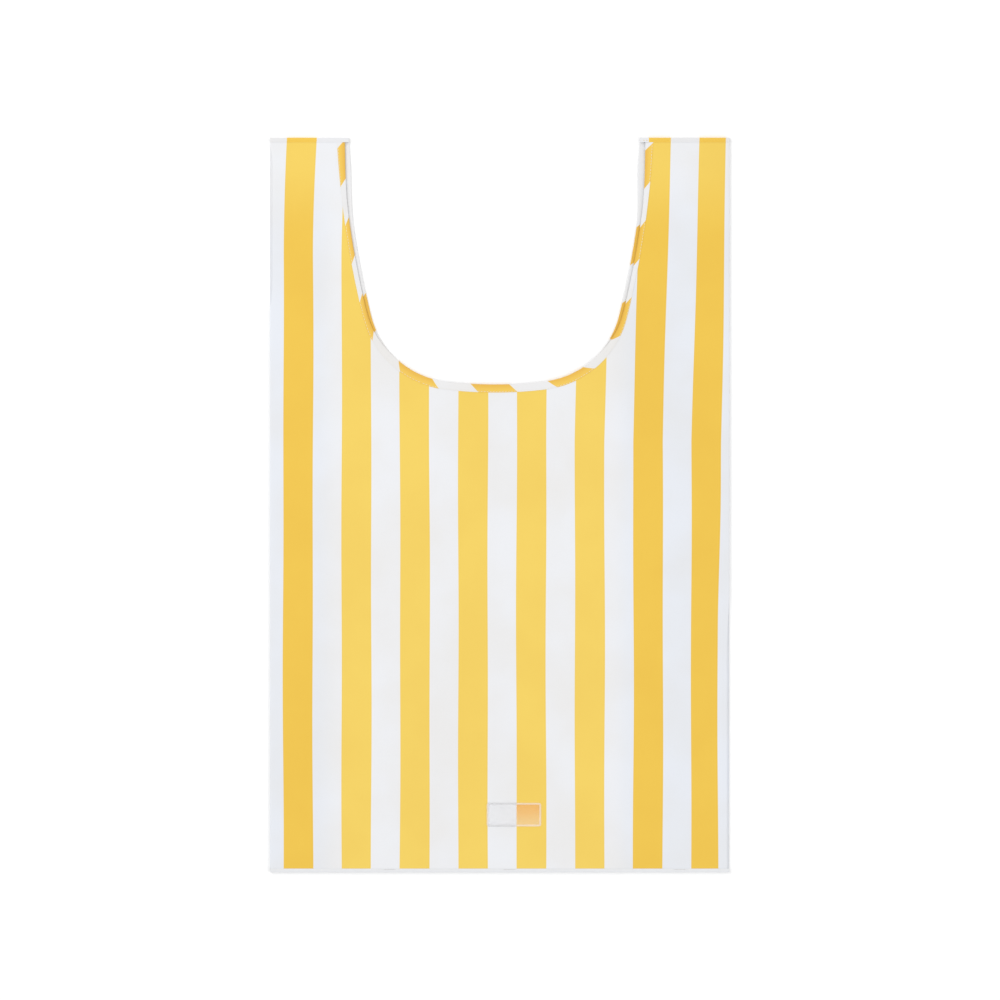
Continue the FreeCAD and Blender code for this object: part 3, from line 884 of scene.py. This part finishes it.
def stitches(places, ways, length, radius, slot=1, pattern=None):
    """One short thread for each place, along its way: four rings of six points, the end rings
    drawn in, closed by a face at each end."""
    along = np.array([-0.5, -0.32, 0.32, 0.5]) * length
    wide = np.array([0.35, 1.0, 1.0, 0.35]) * radius
    drop = np.array([-0.8, 0.0, 0.0, -0.8]) * radius
    up = np.array([0.0, 0.0, 1.0])
    across = np.cross(up, ways)
    sideways = wide[:, None] * np.cos(STITCH_ANGLES)[None, :]
    upwards = wide[:, None] * np.sin(STITCH_ANGLES)[None, :] + drop[:, None]
    ring = (
        along[None, :, None, None] * ways[:, None, None, :]
        + sideways[None, :, :, None] * across[:, None, None, :]
        + upwards[None, :, :, None] * up
    )
    verts = (places[:, None, None, :] + ring).reshape(-1, 3)
    k = np.arange(6)
    after = (k + 1) % 6
    sides = np.concatenate([np.stack([k, 6 + k, 6 + after, after], 1) + 6 * r for r in range(3)])
    first, last = k, 18 + k[::-1]
    base = 24 * np.arange(len(places))
    faces = (sides[None] + base[:, None, None]).reshape(-1, 4)[:, ::-1].tolist()
    faces += (first[None] + base[:, None]).tolist() + (last[None] + base[:, None]).tolist()
    pattern = np.zeros((len(places), 2)) if pattern is None else pattern
    return verts, faces, np.repeat(pattern, 24, 0), slot


def neck_stitches(p_from, p_to, mid_z, layer):
    """A row of threads near the tape's inner edge. Each points along the neck, from its own place
    to one half a millimetre further."""
    p = np.arange(p_from + 1.5, p_to - 1.0, STITCH_STEP)
    x, y = neck_point(p, tape_depth(p, STITCH_DEPTH, 1.0, layer))
    x2, y2 = neck_point(p + 0.5, tape_depth(p + 0.5, STITCH_DEPTH, 1.0, layer))
    z = mid_z + TAPE_HALF_GAP + TAPE_WALL / 2 + 0.02
    z = z + (ripple(x, y) if layer == "front" else 0.0 * x)
    ways = np.stack([x2 - x, y2 - y, 0 * x], 1)
    ways /= np.linalg.norm(ways, axis=1, keepdims=True)
    return stitches(np.stack([x, y, z], 1), ways, STITCH_LENGTH, STITCH_RADIUS)


def tape_piece(name, ends, mid_z, layer, node_names):
    """A stretch of neck tape with its stitches, built as the folded strip it is."""
    points, pattern, p = tape_strip(ends, mid_z, layer)
    parts = [shell(points, TAPE_WALL, pattern)]
    parts.append(neck_stitches(p.min() + 1.0, p.max() - 1.0, mid_z, layer))
    piece = make_piece(name, parts, [TAPE_LOOK, THREAD_LOOK])
    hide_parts(*node_names)
    return piece


def line(axis, value, side):
    """A straight cut across the neck's tape on one side, for tape_strip."""
    near, far = (10.0, NECK_HALF + 3.5) if side > 0 else (-NECK_HALF - 3.5, -10.0)
    return axis, value, near, far


def side_tape(name, side, inner, outer, layer, node_names):
    """A stretch of tape between its end nearer the middle and its end nearer the handle's top.
    Distance along the neck grows from left to right, so on the left the ends change places."""
    ends = (inner, outer) if side > 0 else (outer, inner)
    return tape_piece(name, ends, TAPE_Z[layer], layer, node_names)


# %% Front neck tape
TAPE_Z = {"front": FRONT_MID_Z, "back": 0.345}
TAPE_TOP_Y = SEAM_Y + 0.4
centre_tape = tape_piece(
    "front_tape_centre", (line(0, -FOLD_X, -1), line(0, FOLD_X, 1)), TAPE_Z["front"], "front",
    ["front_neck_binding_centre"],
)
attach(centre_tape, "front_centre")
for word, side in SIDES.items():
    fold = line(0, side * FOLD_X, side)
    handle_fold, top = (line(1, y, side) for y in (HANDLE_FOLD_Y, TAPE_TOP_Y))
    piece = side_tape(
        f"front_tape_{word}", side, fold, handle_fold, "front",
        [f"front_neck_binding_{word}"],
    )
    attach(piece, f"front_{word}")
    piece = side_tape(
        f"front_handle_tape_{word}", side, handle_fold, top, "front",
        [f"front_neck_binding_{word}_shoulder", f"front_neck_binding_{word}_strap"],
    )
    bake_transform(piece)

# %% Back neck tape
for word, side in SIDES.items():
    cut, bend, top = (line(1, y, side) for y in (BACK_CUT_Y, BEND_Y, TAPE_TOP_Y))
    nodes = [f"back_neck_binding_{word}"] + (["back_neck_binding_centre"] if word == "left" else [])
    piece = side_tape(f"back_tape_{word}", side, 0.0, cut, "back", nodes)
    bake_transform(piece)
    piece = side_tape(
        f"back_shoulder_tape_{word}", side, cut, bend, "back",
        [f"back_neck_binding_{word}_shoulder"],
    )
    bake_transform(piece)
    piece = side_tape(
        f"back_handle_tape_{word}", side, bend, top, "back",
        [f"back_neck_binding_{word}_strap"],
    )
    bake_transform(piece)

# %% [markdown]
# The armholes are bound in the same way. They lie inside the handles, where only an open bag
# shows them, so the U is simpler and follows the gusset's edge.

# %% Armhole tapes
BACK_TAPE_CEILING, FRONT_TAPE_FLOOR = 1.02, 1.58
FLATTENED = 0.85


def armhole_strip(side, mid_z, y0, y1, follows=None):
    """The same U, with its depth measured outwards from the armhole's edge. Below the handle fold
    it follows the gusset's edge: the back's tape from below and the front's from above."""
    depth, height = tape_section()
    y = np.linspace(y0, y1, int((y1 - y0) / 4.0) + 2)[:, None] + 0 * depth[None, :]
    edge = armhole_side(y, side)
    x = side * (edge + depth[None, :])
    mid = mid_z + 0 * y
    if follows == "back":
        mid = np.minimum(height_for(crease_weight(y)), BACK_TAPE_CEILING)
    elif follows == "front":
        mid = np.maximum(height_for(1 - crease_weight(y)), FRONT_TAPE_FLOOR)
    z = mid + height[None, :] * FLATTENED
    u = (y - depth[None, :]) / TAPE_PERIOD
    return np.stack([x, y, z], 2), np.stack([u, depth[None, :] / TAPE_WIDTH + 0 * y], 2)


def armhole_piece(name, side, mid_z, y0, y1, node_names, follows=None):
    """A stretch of armhole tape as a piece, tied to no body."""
    points, pattern = armhole_strip(side, mid_z, y0, y1, follows)
    points, pattern = points[:, ::-side], pattern[:, ::-side]
    piece = make_piece(name, [shell(points, TAPE_WALL, pattern)], [TAPE_LOOK])
    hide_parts(*node_names)
    return piece


for layer, other, z_level in (("back", "front", GUSSET_BACK_Z), ("front", "back", GUSSET_FRONT_Z)):
    for word, side in SIDES.items():
        piece = armhole_piece(
            f"{layer}_armhole_tape_{word}", side, z_level, NECK_LOW_Y, HANDLE_FOLD_Y,
            [f"{layer}_armhole_binding_{word}"], layer,
        )
        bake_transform(piece)
        piece = armhole_piece(
            f"{layer}_handle_armhole_tape_{word}", side, z_level, HANDLE_FOLD_Y, SEAM_Y,
            [f"{layer}_armhole_binding_{word}_shoulder", f"{layer}_armhole_binding_{word}_strap"],
        )
        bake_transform(piece)

# %% [markdown]
# ## Seams
# The bottom is closed by a narrow white band, the handles by a band of their own cloth, coloured
# darker as painted shade along the seam, and the gussets by a seam along their crease.

# %% Bands folded over an edge
BAND_INSET, BAND_LOW_Z, BAND_TURN, THREAD_RADIUS = 0.1, 0.08, 0.3, 0.13


def band_section(width, high):
    """A U across the band, open inwards: the lower wall, a half ellipse, the upper wall."""
    middle, r = (high + BAND_LOW_Z) / 2, (high - BAND_LOW_Z) / 2
    angle = np.radians(np.linspace(-90.0, 90.0, 11))
    wall = np.linspace(width, 2 * BAND_TURN, 5)
    flat = np.ones(len(wall))
    depth = np.concatenate([wall, BAND_TURN * (1 - np.cos(angle)), wall[::-1]])
    height = np.concatenate([BAND_LOW_Z * flat, middle + r * np.sin(angle), high * flat])
    return depth, height


def band(x0, x1, edge_y, inward, width, high):
    """The band's U carried along x, its upper wall lifted by the ripple. inward is 1 where the
    cloth is above the edge."""
    depth, height = band_section(width, high)
    x = np.linspace(x0, x1, int(abs(x1 - x0) / GRID) + 2)[:, None] + 0 * depth[None, :]
    y = edge_y + inward * depth[None, :] + 0 * x
    upper = smooth((height - BAND_LOW_Z) / (high - BAND_LOW_Z))[None, :]
    z = height[None, :] + upper * ripple(x, y)
    return np.stack([x, y, z], 2), stripe_count(x, y)


def dashes(x0, x1, y, z_level, step, length, radius=THREAD_RADIUS, slot=1):
    """A row of threads along x at height y, coloured as the cloth that they hold."""
    x = np.arange(x0 + step, x1 - step, step)
    z = z_level + ripple(x, y + 0 * x)
    ways = np.repeat([[1.0, 0.0, 0.0]], len(x), 0)
    pattern = stripe_count(x[:, None], y + 0 * x[:, None])[:, 0]
    return stitches(np.stack([x, y + 0 * x, z], 1), ways, length, radius, slot, pattern)


# %% Bottom seam
BAND_END_X = EDGE_X - 0.2
BOTTOM_WIDTH, BOTTOM_HIGH_Z = CLOTH_BOTTOM_Y - BOTTOM_Y + 0.2, 2.56
SEAM_GAPS = (8.5, 157.0, -96.0)
GAP_LENGTH, GAP_RADIUS, GAP_Z = 13.0, 0.16, 2.62
for word, side in SIDES.items():
    x0, x1 = sorted((0.0, side * BAND_END_X))
    points, pattern = band(x0, x1, BOTTOM_Y + BAND_INSET, 1, BOTTOM_WIDTH, BOTTOM_HIGH_Z)
    parts = [shell(points[::-1], BAND_WALL, pattern[::-1])]
    parts.append(dashes(x0, x1, BOTTOM_Y + 2.2, BOTTOM_HIGH_Z + 0.08, 3.0, 2.1))
    # Painted shadow: a short grey thread lies at each gap in the bottom seam, where shade falls.
    gaps = np.array([g for g in SEAM_GAPS if x0 < g < x1])
    rise = ripple(gaps, CLOTH_BOTTOM_Y + 0 * gaps)
    places = np.stack([gaps, CLOTH_BOTTOM_Y - 0.6 + 0 * gaps, GAP_Z + rise], 1)
    ways = np.repeat([[1.0, 0.0, 0.0]], len(gaps), 0)
    parts.append(stitches(places, ways, GAP_LENGTH, GAP_RADIUS, 2))
    piece = make_piece(f"bottom_band_{word}", parts, [WHITE_SEAM_LOOK, THREAD_LOOK, GAP_SHADOW_LOOK])
    nodes = [f"bottom_seam_{word}"] + (["bottom_seam_centre"] if word == "left" else [])
    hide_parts(*nodes)
    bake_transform(piece)

# %% Handle seams
HANDLE_HIGH_Z = 2.62
for word, side in SIDES.items():
    inner = neck_point(side * NECK_HALF, layer_shift(side * NECK_HALF, "back"))[0]
    x0, x1 = sorted((inner, side * BAND_END_X))
    points, pattern = band(x0, x1, TOP_Y - BAND_INSET, -1, TOP_Y - SEAM_Y + 0.4, HANDLE_HIGH_Z)
    over_tape = np.abs(points[..., 0] - inner) < TAPE_WIDTH + 1.5
    pattern[..., 0] = np.where(over_tape, np.round(pattern[..., 0]), pattern[..., 0])
    parts = [shell(points, BAND_WALL, pattern)]
    parts.append(dashes(x0 + 1, x1 - 1, SEAM_Y + 1.2, HANDLE_HIGH_Z + 0.08, 2.6, 1.8, slot=0))
    # Painted shade: the band's cloth is coloured darker than the handle's.
    piece = make_piece(f"handle_band_{word}", parts, [SHADED_SEAM_LOOK])
    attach(piece, f"back_{word}_strap")
    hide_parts(f"handle_seam_{word}")

# %% Side seams on the creases
RIB_WIDTH, RIB_Z = 7.0, 1.3


def seam_rib(side):
    """The two raw edges of the gusset, pressed together and standing in from the crease: a thin
    strip whose free edge waves a little."""
    a, y = crossed(np.linspace(0.0, RIB_WIDTH, 3), steps(CLOTH_BOTTOM_Y + 0.5, SIDE_SEAM_TOP_Y, 3.5))
    z = RIB_Z + 0.05 * a / RIB_WIDTH * np.sin(y / 17.0)
    return side * (CREASE_X - a), y, z


for word, side in SIDES.items():
    x, y, z = (grid[::-side] for grid in seam_rib(side))
    piece = cloth_piece(f"side_rib_{word}", x, y, z, stripe_count(x, y, 0.0), RIB, SHADED_SEAM_LOOK)
    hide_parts(f"side_seam_{word}")
    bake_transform(piece)

# %% [markdown]
# ## Badge
# Low on the front sits a small plate of clear soft rubber with a raised rim. Its face is bare.
# The plate is a set of rounded outlines, one inside the other, each at its own height.

# %% Badge, as rings that step inwards
BADGE = box_mm("badge")
BADGE_CORNER = 2.0
RIM_RINGS = 8


def badge_ring(inset, turns):
    """A rounded rectangle, inset from the badge's outline: the corner centre for each quarter
    plus what is left of the corner radius along the angle."""
    low, high = BADGE
    centre, half = (low + high)[:2] / 2, (high - low)[:2] / 2
    quarter = np.floor(turns).astype(int) % 4
    angle = np.radians(90.0) * turns
    sx = np.array([1, -1, -1, 1])[quarter]
    sy = np.array([1, 1, -1, -1])[quarter]
    radius = max(BADGE_CORNER - inset, 0.0)
    extra = max(inset - BADGE_CORNER, 0.0)
    x = centre[0] + sx * (half[0] - BADGE_CORNER - extra) + radius * np.cos(angle)
    y = centre[1] + sy * (half[1] - BADGE_CORNER - extra) + radius * np.sin(angle)
    return x, y


BADGE_LIFT = float(ripple(*((BADGE[0] + BADGE[1])[:2] / 2)))
INSETS = np.array([0.25, 0.0, 0.0, 0.18, 0.42, 1.0, 1.22, 1.4, 1.62, 2.0, 4.0, 7.0])
HEIGHTS = np.array([-0.03, 0.04, 0.40, 0.55, 0.60, 0.60, 0.55, 0.42, 0.40, 0.40, 0.40, 0.40])
CORNER_POINTS = 9
turns = np.concatenate([q + np.linspace(0.0, 0.999, CORNER_POINTS) for q in range(4)])
rings = []
for inset, height in zip(INSETS, HEIGHTS):
    rx, ry = badge_ring(inset, turns)
    rings.append(np.stack([rx, ry, np.full_like(rx, BADGE[0][2] + BADGE_LIFT + height)], 1))
rings = np.array(rings)
n, m = rings.shape[:2]
i, j = crossed(np.arange(n - 1), np.arange(m))
after = (j + 1) % m
quads = np.stack([i * m + j, i * m + after, (i + 1) * m + after, (i + 1) * m + j], 2)
rim_faces = quads[:RIM_RINGS].reshape(-1, 4).tolist()
plate_faces = quads[RIM_RINGS:].reshape(-1, 4).tolist() + [list(range((n - 1) * m, n * m))]
bottom_face = [list(range(m))[::-1]]
badge_points = rings.reshape(-1, 3)
badge_uv = stripe_count(badge_points[:, :1], badge_points[:, 1:2])[:, 0]


SILICONE_IOR = 1.41


def rubber_look(name, shaded_top_yellow, lit_yellow, over_white, alpha, roughness):
    """Clear rubber as a thin coat that lets most of the cloth through and takes on the colour of
    the stripe below it, with a soft gloss. Over yellow it is darker at the badge's upper edge, as
    painted shade under the rim, and lighter towards its lower edge."""
    material = bpy.data.materials.new(name)
    tree, shader = nodes_of(material)
    uv = node(tree, "ShaderNodeUVMap", uv_map="cloth")
    across = node(tree, "ShaderNodeSeparateXYZ", {0: uv.outputs[0]}).outputs[0]
    mask = stripe_mask(tree, across, CLOTH_SHARE, 0.01)
    place = node(tree, "ShaderNodeTexCoord").outputs["Object"]
    height = node(tree, "ShaderNodeSeparateXYZ", {0: place}).outputs[1]
    # Painted shade: over yellow the plate darkens towards its upper edge.
    top_shade = smooth_range(tree, height, BADGE[0][1] * MM, BADGE[1][1] * MM)
    yellow = shade(tree, top_shade, lit_yellow, shaded_top_yellow)
    tree.links.new(shade_by(tree, mask, over_white, yellow), shader.inputs["Base Color"])
    cloud = node(tree, "ShaderNodeTexNoise", {0: place}, {2: 220.0, 3: 3.0}).outputs[0]
    relief = node(tree, "ShaderNodeBump", {"Height": cloud}, {"Strength": 0.12, "Distance": 0.0003})
    tree.links.new(relief.outputs[0], shader.inputs["Normal"])
    shader.inputs["Roughness"].default_value = roughness
    shader.inputs["Alpha"].default_value = alpha
    shader.inputs["IOR"].default_value = SILICONE_IOR
    return material


PLATE_LOOK = rubber_look(
    "clear rubber plate", (1.0, 0.58, 0.24), (1.0, 0.80, 0.50), (0.95, 0.95, 0.965), 0.28, 0.30
)
RIM_LOOK = rubber_look(
    "clear rubber rim", (1.0, 0.90, 0.74), (1.0, 0.90, 0.78), (0.76, 0.76, 0.77), 0.50, 0.28
)
badge_piece = make_piece(
    "badge_plate",
    [(badge_points, rim_faces + plate_faces + bottom_face, badge_uv, 0)],
    [PLATE_LOOK, RIM_LOOK],
)
rim_flags = np.zeros(len(badge_piece.data.polygons), np.int32)
rim_flags[: len(rim_faces)] = 1
badge_piece.data.polygons.foreach_set("material_index", rim_flags)
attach(badge_piece, "front_centre")
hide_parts("badge")
